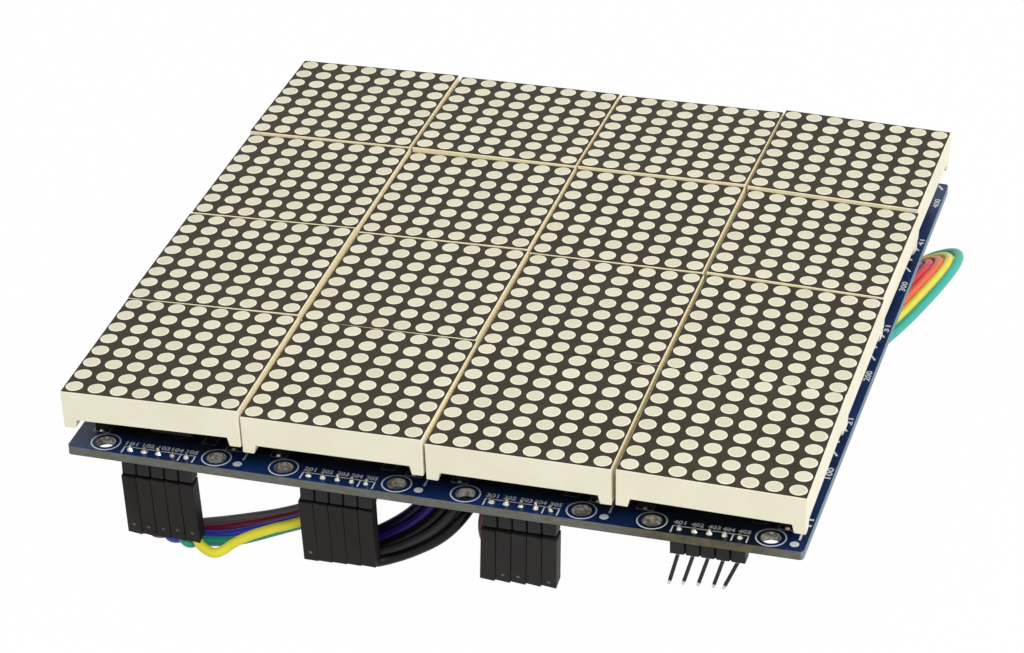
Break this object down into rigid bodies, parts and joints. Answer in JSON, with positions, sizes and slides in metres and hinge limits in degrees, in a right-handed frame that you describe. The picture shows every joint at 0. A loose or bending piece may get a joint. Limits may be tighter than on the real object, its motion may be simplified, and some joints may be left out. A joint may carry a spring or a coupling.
{
  "type": "led dot matrix",
  "caption": "Square display panel of tiled dot matrix modules on a driver board, chained by ribbons of jumper wires between pin headers on its edges.",
  "frame": {"origin": "centre of the board's underside", "axes": "+Z out of the display face, +X to the right along the front edge, +Y to the back"},
  "size_m": [0.1334, 0.1285, 0.0334],
  "materials": {
    "board": "solder mask",
    "housing": "moulded",
    "mask": "printed",
    "lens": "satin",
    "black_plastic": "moulded",
    "tinned_metal": "tinned",
    "chip": "moulded",
    "capacitor": "ceramic",
    "plug": "moulded",
    "wire_grey": "insulation",
    "wire_purple": "insulation",
    "wire_blue": "insulation",
    "wire_green": "insulation",
    "wire_yellow": "insulation",
    "wire_navy": "insulation",
    "wire_violet": "insulation",
    "wire_black": "insulation",
    "wire_charcoal": "insulation",
    "wire_brown": "insulation",
    "wire_red": "insulation",
    "wire_orange": "insulation"
  },
  "bodies": {
    "root": {"board": "board", "housing_1_1": "housing", "housing_1_2": "housing", "housing_1_3": "housing", "housing_1_4": "housing", "face_mask_1": "mask", "led_dots_1": "lens", "sockets_1": "black_plastic", "housing_2_1": "housing", "housing_2_2": "housing", "housing_2_3": "housing", "housing_2_4": "housing", "face_mask_2": "mask", "led_dots_2": "lens", "sockets_2": "black_plastic", "housing_3_1": "housing", "housing_3_2": "housing", "housing_3_3": "housing", "housing_3_4": "housing", "face_mask_3": "mask", "led_dots_3": "lens", "sockets_3": "black_plastic", "housing_4_1": "housing", "housing_4_2": "housing", "housing_4_3": "housing", "housing_4_4": "housing", "face_mask_4": "mask", "led_dots_4": "lens", "sockets_4": "black_plastic", "matrix_pins": "tinned_metal", "driver_chips": "chip", "capacitors": "capacitor", "resistors": "chip", "front_headers": "black_plastic", "back_headers": "black_plastic", "solder_tips": "tinned_metal", "front_pins": "tinned_metal", "back_pins": "tinned_metal", "front_plugs_1": "plug", "front_plugs_2": "plug", "front_plugs_3": "plug", "back_plugs_2": "plug", "back_plugs_3": "plug", "back_plugs_4": "plug", "wire_first_grey": "wire_grey", "wire_first_purple": "wire_purple", "wire_first_blue": "wire_blue", "wire_first_green": "wire_green", "wire_first_yellow": "wire_yellow", "wire_second_navy": "wire_navy", "wire_second_violet": "wire_violet", "wire_second_black": "wire_black", "wire_second_charcoal": "wire_charcoal", "wire_second_brown": "wire_brown", "wire_third_brown": "wire_brown", "wire_third_red": "wire_red", "wire_third_orange": "wire_orange", "wire_third_yellow": "wire_yellow", "wire_third_green": "wire_green"}
  },
  "joints": []
}
